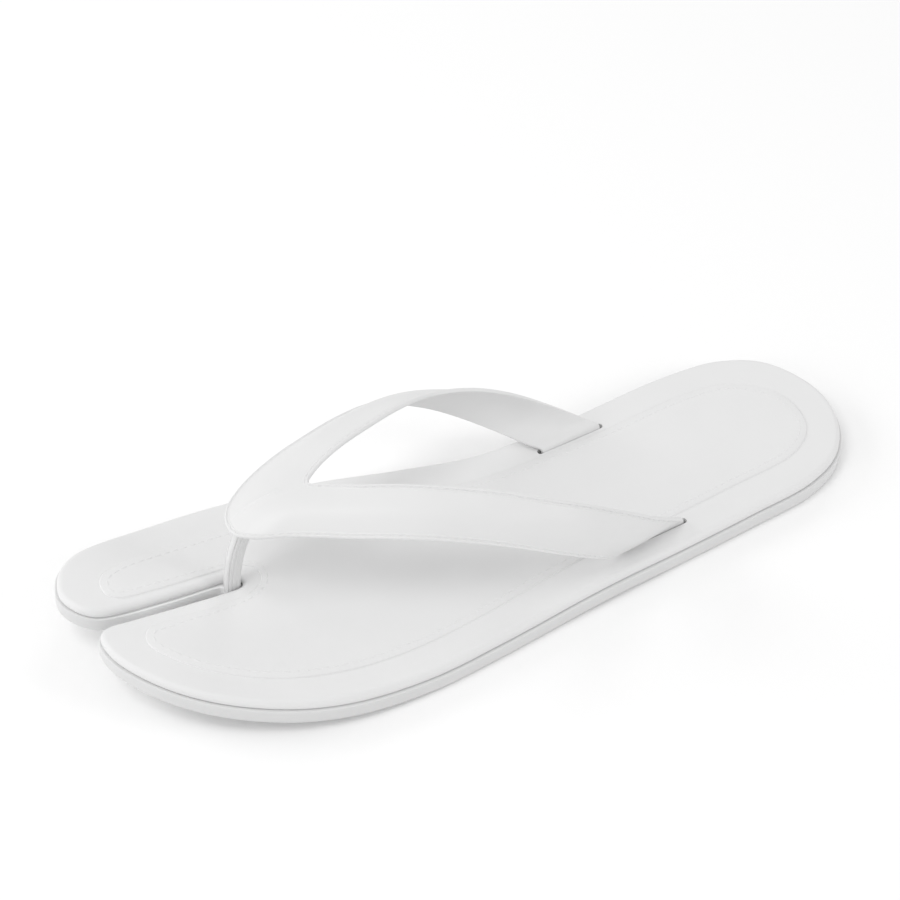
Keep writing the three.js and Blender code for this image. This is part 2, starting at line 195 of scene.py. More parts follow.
@dataclass
class Skin:
    """Points and faces of one mesh, gathered as whole arrays.

    Attributes:
        points: Blocks of points in millimetres.
        faces: Blocks of corner numbers.
        count: Points gathered so far.
    """

    points: list[Array] = field(default_factory=list)
    faces: list[Array] = field(default_factory=list)
    count: int = 0

    def add(self, points: Array, faces: Array) -> None:
        """Adds a block of points and the faces between them.

        Args:
            points: Points, one per row.
            faces: Corner numbers in this block, one face per row.
        """
        self.points.append(points)
        self.faces.append(faces + self.count)
        self.count += len(points)

    def tube(self, rings: Array) -> None:
        """Adds the quads between closed rings.

        The quad at ring r and place i joins (r, i), (r, i + 1), (r + 1, i + 1) and (r + 1, i).

        Args:
            rings: Ring number by place on the ring by coordinate.
        """
        rows, columns = rings.shape[:2]
        r, i = np.meshgrid(np.arange(rows - 1), np.arange(columns), indexing="ij")
        j = (i + 1) % columns
        corners = [r * columns + i, r * columns + j, (r + 1) * columns + j, (r + 1) * columns + i]
        self.add(rings.reshape(-1, 3), np.stack(corners, axis=-1).reshape(-1, 4))

    def fan(self, ring: Array) -> None:
        """Closes a ring with triangles to its middle.

        Args:
            ring: Points of the ring, one per row.
        """
        number = np.arange(len(ring))
        middle = np.full_like(number, len(ring))
        triangles = np.stack([number, (number + 1) % len(ring), middle], axis=1)
        self.add(np.vstack([ring, ring.mean(axis=0)]), triangles)

    def sheet(self, loop: Array, holes: list[Array], spacing: float, lift: Lift) -> None:
        """Adds a sheet inside a plan loop: triangles over its edge and a square grid of inner points.

        Args:
            loop: Outer plan loop.
            holes: Plan loops left open.
            spacing: Distance between the inner points.
            lift: Function from plan points to heights.
        """
        low, high = loop.min(axis=0), loop.max(axis=0)
        sides = [np.arange(start + spacing / 2, end, spacing) for start, end in zip(low, high)]
        grid = np.stack(np.meshgrid(*sides), axis=-1).reshape(-1, 2)
        edges = np.vstack([loop, *holes])
        far = np.min(np.linalg.norm(grid[:, None] - edges[None], axis=2), axis=1) > spacing / 2
        points = np.vstack([edges, grid[far]])
        starts = np.cumsum([0, len(loop), *(len(hole) for hole in holes)])
        spans = list(zip(starts, starts[1:]))
        rims = [(a + k, a + (k + 1) % (b - a)) for a, b in spans for k in range(b - a)]
        made = delaunay_2d_cdt([Vector(p) for p in points.tolist()], rims, [], 0, SAME_PLACE)
        flat = np.array([tuple(p) for p in made[0]])
        triangles = np.array(made[2])
        middles = flat[triangles].mean(axis=1)
        keep = inside(middles, loop)
        for hole in holes:
            keep &= ~inside(middles, hole)
        self.add(np.column_stack([flat, lift(flat)]), triangles[keep])

    def make(self, name: str) -> bpy.types.Object:
        """Makes one object of the gathered blocks: doubles merged, faces turned outwards, shaded smooth.

        Args:
            name: The object's name.

        Returns:
            The object, at the origin.
        """
        mesh = bpy.data.meshes.new(name)
        corners = [face for block in self.faces for face in block.tolist()]
        mesh.from_pydata((np.vstack(self.points) * MM).tolist(), [], corners)
        work = bmesh.new()
        work.from_mesh(mesh)
        bmesh.ops.remove_doubles(work, verts=work.verts, dist=DOUBLES * MM)
        bmesh.ops.recalc_face_normals(work, faces=work.faces)
        work.to_mesh(mesh)
        work.free()
        made = bpy.data.objects.new(name, mesh)
        bpy.context.scene.collection.objects.link(made)
        smooth(made)
        return made


def smooth(made: bpy.types.Object) -> None:
    """Shades an object's faces smooth, apart from edges past the sharp angle."""
    made.data.shade_smooth()
    made.data.set_sharp_from_angle(angle=math.radians(SHARP_ANGLE))


def rod(rings: Array, name: str) -> bpy.types.Object:
    """A closed body: the tube through all the rings, with a fan across each end.

    Args:
        rings: Ring number by place on the ring by coordinate.
        name: The object's name.

    Returns:
        The object, at the origin.
    """
    skin = Skin()
    skin.tube(rings)
    skin.fan(rings[0])
    skin.fan(rings[-1])
    return skin.make(name)


def block(loop: Array, low: float, high: float, name: str) -> bpy.types.Object:
    """An upright closed block: a plan loop carried from one height to another.

    Args:
        loop: Plan points, one per row.
        low: Height of its underside.
        high: Height of its top.
        name: The object's name.

    Returns:
        The object, at the origin.
    """
    rings = [np.column_stack([loop, np.full(len(loop), height)]) for height in (low, high)]
    return rod(np.stack(rings), name)


def clear_slivers(mesh: bpy.types.Mesh) -> None:
    """Splits a mesh's many-sided faces into triangles and dissolves those that have no width.

    Args:
        mesh: The mesh that changes.
    """
    work = bmesh.new()
    work.from_mesh(mesh)
    many_sided = [face for face in work.faces if len(face.verts) > 4]
    bmesh.ops.triangulate(work, faces=many_sided)
    bmesh.ops.dissolve_degenerate(work, edges=work.edges, dist=DOUBLES * MM)
    work.to_mesh(mesh)
    work.free()


def combine(target: bpy.types.Object, tools: list[bpy.types.Object], how: Join) -> None:
    """Unites closed meshes with a target, or cuts them out of it, and removes them.

    Args:
        target: The object that changes.
        tools: The objects that are used up.
        how: Whether to unite or to cut.
    """
    for tool in tools:
        step = target.modifiers.new(tool.name, "BOOLEAN")
        step.object, step.operation, step.solver = tool, how.value, "EXACT"
    bpy.context.view_layer.update()
    graph = bpy.context.evaluated_depsgraph_get()
    made = bpy.data.meshes.new_from_object(target.evaluated_get(graph))
    target.modifiers.clear()
    clear_slivers(made)
    target.data = made
    for tool in tools:
        bpy.data.objects.remove(tool)
    smooth(target)


def add_node(
    tree: bpy.types.NodeTree, kind: str, inputs: dict[str | int, object], **settings: object
) -> bpy.types.Node:
    """Adds a shader node.

    Args:
        tree: The tree that it goes into.
        kind: The node's type name.
        inputs: Socket name or number to a value, or to an output socket that is linked to it.
        **settings: Properties of the node itself.

    Returns:
        The new node.
    """
    node = tree.nodes.new(kind)
    for name, value in settings.items():
        setattr(node, name, value)
    for name, value in inputs.items():
        if isinstance(value, Socket):
            tree.links.new(value, node.inputs[name])
        else:
            node.inputs[name].default_value = value
    return node


@dataclass(frozen=True)
class MouldedRubber:
    """White pigmented rubber, pressed in a satin mould: an even milky body with a soft, broad highlight.

    Attributes:
        name: The material's name.
        light: Lighter body colour, as sRGB hex.
        dark: Darker body colour of the faint cloudiness.
        cloud: Size of the cloudiness.
        grain: Size of the mould's fine grain; drawn coarser than the real one so that it shows.
        depth: Height of the grain.
        smooth: Lowest roughness.
        rough: Highest roughness.
        painted_split_light: Lighter colour painted on the walls of the toe split as painted light, where
            they fall in shade, if the piece has such walls.
        split: Middle of the toe split along and across the sandal, and half the painted width.
        reach: Distances along the split between which the painted light fades.
        cloud_noise: Detail and roughness of the cloudiness.
        grain_noise: Detail and roughness of the grain.
        ends: Noise values between which colour and roughness change.
        ior: Index of refraction of rubber.
    """

    name: str
    light: str
    dark: str
    cloud: float
    grain: float
    depth: float
    smooth: float
    rough: float
    painted_split_light: str | None = None
    split: tuple[float, float, float] = (-100, 15.4, 6)
    reach: tuple[float, float] = (16, 32)
    cloud_noise: tuple[float, float] = (3.0, 0.55)
    grain_noise: tuple[float, float] = (2.0, 0.6)
    ends: tuple[float, float] = (0.3, 0.7)
    ior: float = 1.52

    def noise(
        self, tree: bpy.types.NodeTree, place: Socket, size: float, kind: tuple[float, float]
    ) -> Socket:
        """Adds a noise pattern.

        Args:
            tree: The material's nodes.
            place: Places in the sandal's frame.
            size: Size of the pattern in millimetres.
            kind: Its detail and roughness.

        Returns:
            The noise's value.
        """
        detail, roughness = kind
        inputs = {"Vector": place, "Scale": 1 / (size * MM), "Detail": detail, "Roughness": roughness}
        return add_node(tree, "ShaderNodeTexNoise", inputs).outputs["Fac"]

    def paint_split_light(self, tree: bpy.types.NodeTree, place: Socket, body: Socket) -> Socket:
        """Mixes the painted light in near the split's middle line: a lighter colour that stands in for
        light in the split's shade, fading with the distance along it.

        Args:
            tree: The material's nodes.
            place: Places in the sandal's frame.
            body: The body colour.

        Returns:
            The mixed colour.
        """
        along, across, half = (size * MM for size in self.split)
        start, end = (size * MM for size in self.reach)
        axes = add_node(tree, "ShaderNodeSeparateXYZ", {"Vector": place}).outputs
        off = add_node(tree, "ShaderNodeMath", {0: axes["X"], 1: along}, operation="SUBTRACT").outputs[0]
        away = add_node(tree, "ShaderNodeMath", {0: off}, operation="ABSOLUTE").outputs[0]
        limits = {"Value": away, "From Min": start, "From Max": end, "To Min": 1.0, "To Max": 0.0}
        fade = add_node(tree, "ShaderNodeMapRange", limits).outputs["Result"]
        band = {0: axes["Y"], 1: across, 2: half}
        near = add_node(tree, "ShaderNodeMath", band, operation="COMPARE").outputs[0]
        share = add_node(tree, "ShaderNodeMath", {0: fade, 1: near}, operation="MULTIPLY").outputs[0]
        # Painted light: a lighter colour mixed in where the toe split's walls fall in shade.
        mix = add_node(tree, "ShaderNodeMix", {0: share, 6: body, 7: linear(self.painted_split_light)}, data_type="RGBA")
        return mix.outputs[2]

    def material(self) -> bpy.types.Material:
        """Builds the material: cloudy colour, uneven satin roughness, a fine grain as bump and, where set,
        painted light in the toe split.

        Returns:
            The new material.
        """
        made = bpy.data.materials.new(self.name)
        made.use_nodes = True
        tree = made.node_tree
        tree.nodes.clear()
        place = add_node(tree, "ShaderNodeTexCoord", {}).outputs["Object"]
        cloud = self.noise(tree, place, self.cloud, self.cloud_noise)
        grain = self.noise(tree, place, self.grain, self.grain_noise)
        colour = add_node(tree, "ShaderNodeValToRGB", {"Fac": cloud})
        for stop, end, shade in zip(colour.color_ramp.elements, self.ends, (self.dark, self.light)):
            stop.position, stop.color = end, linear(shade)
        body = colour.outputs["Color"]
        # Painted light in the toe split, where it is set.
        if self.painted_split_light:
            body = self.paint_split_light(tree, place, body)
        start, end = self.ends
        limits = {"From Min": start, "From Max": end, "To Min": self.smooth, "To Max": self.rough}
        gloss = add_node(tree, "ShaderNodeMapRange", {"Value": grain, **limits})
        relief = {"Height": grain, "Strength": 1.0, "Distance": self.depth * MM}
        bump = add_node(tree, "ShaderNodeBump", relief)
        shader = add_node(
            tree,
            "ShaderNodeBsdfPrincipled",
            {
                "Base Color": body,
                "Roughness": gloss.outputs["Result"],
                "Normal": bump.outputs["Normal"],
                "IOR": self.ior,
            },
        )
        add_node(tree, "ShaderNodeOutputMaterial", {"Surface": shader.outputs["BSDF"]})
        return made


@dataclass(frozen=True)
class MattPaper:
    """White backdrop paper with a matt coat: an even white with hardly any highlight.

    Attributes:
        name: The material's name.
        colour: Its colour, as sRGB hex.
        rough: Its roughness.
        shine: Its specular level.
    """

    name: str = "matt_white_paper"
    colour: str = "FDFDFD"
    rough: float = 0.9
    shine: float = 0.1

    def material(self) -> bpy.types.Material:
        """Builds the material: one plain shader.

        Returns:
            The new material.
        """
        made = bpy.data.materials.new(self.name)
        made.use_nodes = True
        tree = made.node_tree
        tree.nodes.clear()
        look = {
            "Base Color": linear(self.colour),
            "Roughness": self.rough,
            "Specular IOR Level": self.shine,
        }
        shader = add_node(tree, "ShaderNodeBsdfPrincipled", look)
        add_node(tree, "ShaderNodeOutputMaterial", {"Surface": shader.outputs["BSDF"]})
        return made


# Footbed and insole: a fine satin mould leaves a broad, faint highlight.
SOLE_RUBBER = MouldedRubber(
    name="moulded_sole_rubber", light="E6E6E6", dark="E4E4E4",
    cloud=24, grain=0.5, depth=0.003, smooth=0.5, rough=0.6,
)
# Outsole: a coarser press leaves it duller; its colour is a little darker as painted shade on its walls,
# and a lighter colour is painted inside the toe split as light where the split falls in shade.
# Its body colour is a few levels darker than the footbed's: painted shade on the upright walls.
WALL_RUBBER = MouldedRubber(
    name="pressed_outsole_rubber", light="DEDEDE", dark="DCDCDC", painted_split_light="FAFAFA",
    cloud=16, grain=0.7, depth=0.008, smooth=0.55, rough=0.66,
)
# Strap and post: a smoother mould gives the crown a narrower highlight.
STRAP_RUBBER = MouldedRubber(
    name="moulded_strap_rubber", light="E5E5E5", dark="E3E3E3",
    cloud=24, grain=0.5, depth=0.003, smooth=0.42, rough=0.52,
)


def dress(made: bpy.types.Object, finish: MouldedRubber, node: str | None = None) -> None:
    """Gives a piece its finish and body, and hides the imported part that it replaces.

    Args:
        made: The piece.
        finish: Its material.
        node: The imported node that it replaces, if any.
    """
    made.data.materials.clear()
    made.data.materials.append(bpy.data.materials.get(finish.name) or finish.material())
    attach(made, "root")
    if node:
        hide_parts(node)
    LOG.info("%s: %d faces", made.name, len(made.data.polygons))


@dataclass(frozen=True)
class Profile:
    """Side profile that every layer of the sole follows: toe spring, low waist arch and lifted heel end.

    Attributes:
        half: Half the sole's length.
        toe: Rise of the toe tip, where it starts and its power.
        waist: Rise of the waist, where it starts and where it ends.
        heel: Rise of the heel end, where it starts and its power.
    """

    half: float = 140
    toe: tuple[float, float, float] = (14, -32, 1.9)
    waist: tuple[float, float, float] = (0.7, -5, 60)
    heel: tuple[float, float, float] = (1.5, 118, 2)

    def rise(self, x: Array) -> Array:
        """Height of the underside.

        It is a power of the way to the toe tip, the same to the heel end, and a squared sine at the waist.

        Args:
            x: Places along the sole.

        Returns:
            Heights above the floor.
        """
        toe_rise, toe_start, toe_power = self.toe
        heel_rise, heel_start, heel_power = self.heel
        waist_rise, waist_start, waist_end = self.waist
        toe = np.maximum(0, (toe_start - x) / (toe_start + self.half))
        heel = np.maximum(0, (x - heel_start) / (self.half - heel_start))
        waist = np.sin(np.pi * np.clip((x - waist_start) / (waist_end - waist_start), 0, 1))
        return toe_rise * toe**toe_power + heel_rise * heel**heel_power + waist_rise * waist**2

    def level(self, height: float) -> Lift:
        """A function from plan points to heights, one stack height above the underside."""
        return lambda flat: self.rise(flat[:, 0]) + height


@dataclass(frozen=True)
class Plan:
    """Plan shapes of the sole: the outer edge, the split between the toe lobes and the insole's edge.

    Attributes:
        outline: Outer edge from the big toe tip round by the heel to the little toes.
        mouth: Middle of the split's mouth.
        root: Middle of the split near its root.
        outer_corner: Mouth corner of the wide lobe, as place and distance back from the split's side.
        inner_corner: Mouth corner of the big toe lobe.
        shoulder: Point beside the root, back from it and out from the split's side, in half widths.
        insole: Edge of the raised insole.
        steps: Points made for each span.
    """

    outline: Rows = (
        (-140, 31.4), (-135.6, 41.2), (-126, 47.5), (-100, 49.6), (-72, 48.7), (-40, 43.2), (-10, 33),
        (20, 24.1), (55, 23), (95, 22.9), (118, 19.2), (132, 9.7), (139.9, -10.5), (137.4, -27),
        (128, -38.8), (112, -44.9), (85, -46.2), (50, -46.9), (10, -47.7), (-20, -49.1), (-48, -49.4),
        (-75, -46.1), (-95, -39.4), (-115, -27.3), (-128, -14.2), (-135.6, -0.5),
    )
    mouth: tuple[float, float] = (-137, 16.2)
    root: tuple[float, float] = (-82, 14.6)
    outer_corner: Rows = ((-136.6, 5.9), (-135, 2.3), (-131.8, 0.4), (-122, 0))
    inner_corner: Rows = ((-122, 0), (-130.9, 0.7), (-135, 2.7), (-138.4, 6.8))
    shoulder: tuple[float, float] = (0.3, -0.28)
    insole: Rows = (
        (-125.7, 30.6), (-122.6, 34.4), (-114, 36.9), (-95, 37.2), (-72, 36), (-45, 30), (-15, 19.9),
        (18, 12.6), (55, 10.9), (95, 10.8), (112, 7.6), (123.6, -2), (127.6, -13), (124.6, -25), (114, -32),
        (85, -33.8), (50, -34.4), (10, -34.9), (-20, -37.5), (-48, -38), (-72, -35.2), (-93, -28.4),
        (-110, -17.4), (-119.6, -6.6), (-123.3, 1.2), (-120.6, 6.8), (-110, 7.8), (-92, 7.2), (-81.8, 8),
        (-76.4, 11.6), (-75.6, 16.2), (-79.6, 19.6), (-89.4, 20.6), (-112, 21.4), (-122, 22.2),
        (-125.8, 25.2),
    )
    steps: int = 14

    def middle(self, x: Array) -> Array:
        """Middle of the split across the sandal, on a straight line from its mouth to its root."""
        along = (x - self.mouth[0]) / (self.root[0] - self.mouth[0])
        return self.mouth[1] + along * (self.root[1] - self.mouth[1])

    def split_loop(self, half: float, root_x: float) -> Array:
        """Smooth outer loop with a split of a half width and a round root.

        Args:
            half: Half the split's width.
            root_x: Where the split ends.

        Returns:
            Plan points, clockwise seen from above.
        """
        halfway = (self.outer_corner[-1][0] + root_x - half) / 2
        shoulder = (root_x - self.shoulder[0] * half, self.shoulder[1] * half)
        side = [(halfway, 0), (root_x - half, 0), shoulder]
        outer = np.array([*self.outer_corner, *side])
        inner = np.array([*side[::-1], *self.inner_corner])
        rows = [
            np.array(self.outline),
            np.column_stack([outer[:, 0], self.middle(outer[:, 0]) - half - outer[:, 1]]),
            np.array([(root_x, self.middle(root_x))]),
            np.column_stack([inner[:, 0], self.middle(inner[:, 0]) + half + inner[:, 1]]),
        ]
        return spline(np.vstack(rows), self.steps, closed=True)

    def insole_loop(self) -> Array:
        """Smooth edge of the insole, clockwise seen from above."""
        return spline(np.array(self.insole), self.steps, closed=True)


@dataclass(frozen=True)
class StrapSlot:
    """A slot in the footbed's rim that takes a strap's end.

    Attributes:
        y: Its place across the sandal.
        x: Its middle along the sandal.
        length: Its length, round ends included.
        width: Its width.
        span: Heights that its cutter spans.
        steps: Points on each round end.
    """

    y: float
    x: float = 48.9
    length: float = 27.4
    width: float = 2.2
    span: tuple[float, float] = (-5.0, 30.0)
    steps: int = 12

    def cutter(self) -> bpy.types.Object:
        """A round-ended block through the sole's upper layers: two half circles carried upwards.

        Returns:
            The block.
        """
        radius = self.width / 2
        reach = self.length / 2 - radius
        right = arc(radius, -90, 90, self.steps) + (self.x + reach, self.y)
        left = arc(radius, 90, 270, self.steps) + (self.x - reach, self.y)
        return block(np.vstack([right, left]), *self.span, "slot_cutter")


SLOTS = (StrapSlot(13.4), StrapSlot(-37.5))


@dataclass(frozen=True)
class Stitch:
    """One moulded stitch: a low pill that stands out of a surface.

    Attributes:
        length: Its length along the row.
        width: Its width.
        height: Its height over the surface.
        tip: Latitude of its end rings, in degrees.
        blunt: Power that makes its ends blunt, one for a stretched ball.
        rings: Rings from end to end.
        sides: Points round a ring.
    """

    length: float = 2.2
    width: float = 0.7
    height: float = 0.13
    tip: float = 88
    blunt: float = 0.7
    rings: int = 6
    sides: int = 8

    def place(self, skin: Skin, middle: Array, along: Array, normal: Array) -> None:
        """Adds one pill at each place: a stretched ball, blunt along its row.

        Args:
            skin: The skin that they go into.
            middle: Places on the surface.
            along: Unit directions of the row.
            normal: Unit directions out of the surface.
        """
        tip = np.radians(np.linspace(-self.tip, self.tip, self.rings))[:, None]
        turn = (2 * np.pi * np.arange(self.sides) / self.sides)[None]
        far = np.sign(np.sin(tip)) * np.abs(np.sin(tip)) ** self.blunt * self.length / 2 + 0 * turn
        wide = np.sqrt(np.cos(tip)) * np.cos(turn) * self.width / 2
        high = np.sqrt(np.cos(tip)) * np.sin(turn) * self.height
        across = np.cross(normal, along)
        pills = middle[:, None, None]
        for way, size in ((along, far), (across, wide), (normal, high)):
            pills = pills + way[:, None, None] * size[..., None]
        number = np.arange(self.rings * self.sides).reshape(self.rings, self.sides)
        beside = np.roll(number, -1, axis=1)
        quads = np.stack([number[:-1], beside[:-1], beside[1:], number[1:]], axis=-1).reshape(-1, 4)
        ends = np.stack([number[0][::-1], number[-1]])
        offset = np.arange(len(middle))[:, None, None] * number.size
        start = skin.count
        skin.add(pills.reshape(-1, 3), (quads[None] + offset).reshape(-1, 4))
        skin.faces.append((ends[None] + offset).reshape(-1, self.sides) + start)


@dataclass
class Sole:
    """The sole: an outsole, a footbed with a rolled edge and a raised insole in its pocket.

    Attributes:
        plan: Plan shapes.
        profile: Side profile.
        outsole_bottom: Height of the outsole's underside over its rest pads.
        outsole_top: Height of the outsole in the stack.
        pads: Ends along and across the sandal of the pads that it rests on.
        footbed_bottom: Height of the footbed's underside.
        footbed_top: Height of the footbed's rim.
        pocket_floor: Height of the pocket's floor.
        insole_bottom: Height of the insole's underside.
        insole_top: Height of the insole.
        outsole_split: Half width and root of the outsole's split, before the spread.
        footbed_split: Half width and root of the footbed's split, before the ledge.
        ledge: How far the footbed's edge stands inside the plan's.
        spread: How far the outsole's edge stands outside the plan's.
        foot_round: Radius at the outsole's lower edge.
        lip_round: Radius at the outsole's upper edge.
        roll: Radius of the footbed's rolled edge.
        tuck: Radius under the footbed's edge.
        seam: Space beside the insole; negative where the rim grips it.
        ramp: Width of the slope at the insole's edge.
        spacing: Distance between inner points of a flat face.
        edge_steps: Points on the arcs of the lower edges.
        lip_steps: Points on the lip's arc.
        roll_steps: Points on the rolled edge's arc.
        ramp_steps: Points on the insole's slope.
        thread: One stitch of the insole's row.
        thread_inset: Distance of the row from the insole's edge.
        thread_spacing: Distance between two stitches.
        tighten: How much closer the row lies at the split's root, and how far round the root.
    """

    plan: Plan = field(default_factory=Plan)
    profile: Profile = field(default_factory=Profile)
    outsole_bottom: float = 0.3
    outsole_top: float = 6.1
    pads: Rows = ((66, 114, -36, 12), (-32, -6, -40, 26))
    footbed_bottom: float = 6.4
    footbed_top: float = 9.6
    pocket_floor: float = 8.4
    insole_bottom: float = 8.7
    insole_top: float = 10.1
    outsole_split: tuple[float, float] = (2.4, -87.3)
    footbed_split: tuple[float, float] = (2.0, -82.5)
    ledge: float = 0.5
    spread: float = 0.4
    foot_round: float = 0.8
    lip_round: float = 0.45
    roll: float = 2.2
    tuck: float = 0.6
    seam: float = -0.02
    ramp: float = 0.5
    spacing: float = 5
    edge_steps: int = 5
    lip_steps: int = 6
    roll_steps: int = 10
    ramp_steps: int = 7
    thread: Stitch = Stitch()
    thread_inset: float = 2.7
    thread_spacing: float = 3.2
    tighten: tuple[float, float] = (0.8, 12)

    def rim(self, loop: Array, rows: Array) -> Array:
        """Rings of a layer's edge: the loop moved in by each row's inset, at its height over the underside.

        Args:
            loop: Plan loop.
            rows: Inset and stack height, one ring per row.

        Returns:
            Ring number by place by coordinate.
        """
        moved = np.stack([inset(loop, distance) for distance in rows[:, 0]])
        height = self.profile.rise(moved[..., 0]) + rows[:, 1:]
        return np.concatenate([moved, height[..., None]], axis=2)

    def slab(self, loop: Array, rows: Array) -> Skin:
        """A closed layer: its rim and flat faces across the first and last ring.

        Args:
            loop: Plan loop.
            rows: Inset and stack height of each ring, from the underside up.

        Returns:
            The layer's skin.
        """
        skin = Skin()
        rings = self.rim(loop, rows)
        skin.tube(rings)
        for ring, row in ((rings[0], rows[0]), (rings[-1], rows[-1])):
            skin.sheet(ring[:, :2], [], self.spacing, self.profile.level(row[1]))
        return skin

    def make_outsole(self) -> bpy.types.Object:
        """The outsole: an upright wall with a rounded lower edge and a narrow lip, on two low rest pads.

        Returns:
            The piece.
        """
        foot = arc(self.foot_round, 270, 180, self.edge_steps)
        foot += (self.foot_round, self.outsole_bottom + self.foot_round)
        lip = arc(self.lip_round, 180, 90, self.lip_steps)
        lip += (self.lip_round, self.outsole_top - self.lip_round)
        loop = inset(self.plan.split_loop(*self.outsole_split), -self.spread)
        made = self.slab(loop, np.vstack([foot, lip])).make("outsole_shell")
        pads = []
        for left, right, front, back in self.pads:
            flat = np.array([(left, front), (left, back), (right, back), (right, front)])
            pads.append(block(flat, 0, self.outsole_top / 2, "rest_pad"))
        combine(made, pads, Join.UNITE)
        return made

    def make_footbed(self) -> bpy.types.Object:
        """The footbed: a tucked lower edge, a rolled upper edge, the insole's pocket and the strap slots.

        Returns:
            The piece.
        """
        loop = self.plan.split_loop(*self.footbed_split)
        tuck = arc(self.tuck, 270, 180, self.edge_steps)
        tuck += (self.tuck, self.footbed_bottom + self.tuck)
        roll = arc(self.roll, 180, 90, self.roll_steps)
        roll += (self.roll, self.footbed_top - self.roll)
        rows = np.vstack([tuck, roll]) + (self.ledge, 0)
        rings = self.rim(loop, rows)
        wall = np.array([(-self.seam, self.footbed_top), (-self.seam, self.pocket_floor)])
        pocket = self.rim(self.plan.insole_loop(), wall)
        skin = Skin()
        skin.tube(rings)
        skin.tube(pocket)
        level = self.profile.level
        skin.sheet(rings[0][:, :2], [], self.spacing, level(rows[0][1]))
        skin.sheet(rings[-1][:, :2], [pocket[0][:, :2]], self.spacing, level(self.footbed_top))
        skin.sheet(pocket[1][:, :2], [], self.spacing, level(self.pocket_floor))
        made = skin.make("footbed_rim")
        combine(made, [slot.cutter() for slot in SLOTS], Join.CUT)
        return made

    def make_insole(self) -> bpy.types.Object:
        """The insole: a thin panel whose edge rises over the rim as half a cosine wave.

        Returns:
            The piece.
        """
        way = np.linspace(0, 1, self.ramp_steps)
        rise = (self.insole_top - self.footbed_top) * (1 - np.cos(np.pi * way)) / 2
        edge = np.column_stack([self.ramp * way, self.footbed_top + rise])
        rows = np.vstack([[(0, self.insole_bottom)], edge])
        made = self.slab(self.plan.insole_loop(), rows).make("insole_panel")
        combine(made, [slot.cutter() for slot in SLOTS], Join.CUT)
        return made

    def make_stitches(self) -> bpy.types.Object:
        """The row of moulded stitches along the insole's edge, nearer to it by a bell at the split's root.

        Each stitch leans with the sole, by its rise over one millimetre.

        Returns:
            The piece.
        """
        loop = self.plan.insole_loop()
        closer, reach = self.tighten
        away = np.linalg.norm(loop - np.array(self.plan.root), axis=1)
        share = (1 - closer / self.thread_inset * np.exp(-((away / reach) ** 2)))[:, None]
        row = loop + (inset(loop, self.thread_inset) - loop) * share
        path = evenly(row, self.thread_spacing, closed=True)
        along = unit(np.roll(path, -1, axis=0) - np.roll(path, 1, axis=0))
        slope = self.profile.rise(path[:, 0] + 0.5) - self.profile.rise(path[:, 0] - 0.5)
        along = unit(np.column_stack([along, slope * along[:, 0]]))
        normal = unit(np.column_stack([-slope, np.zeros(len(path)), np.ones(len(path))]))
        middle = np.column_stack([path, self.profile.rise(path[:, 0]) + self.insole_top])
        skin = Skin()
        self.thread.place(skin, middle, along, normal)
        return skin.make("insole_stitches")

    def build(self) -> None:
        """Makes and dresses the sole's pieces."""
        dress(self.make_outsole(), WALL_RUBBER, "outsole")
        dress(self.make_footbed(), SOLE_RUBBER, "footbed")
        dress(self.make_insole(), SOLE_RUBBER, "insole")
        dress(self.make_stitches(), SOLE_RUBBER)


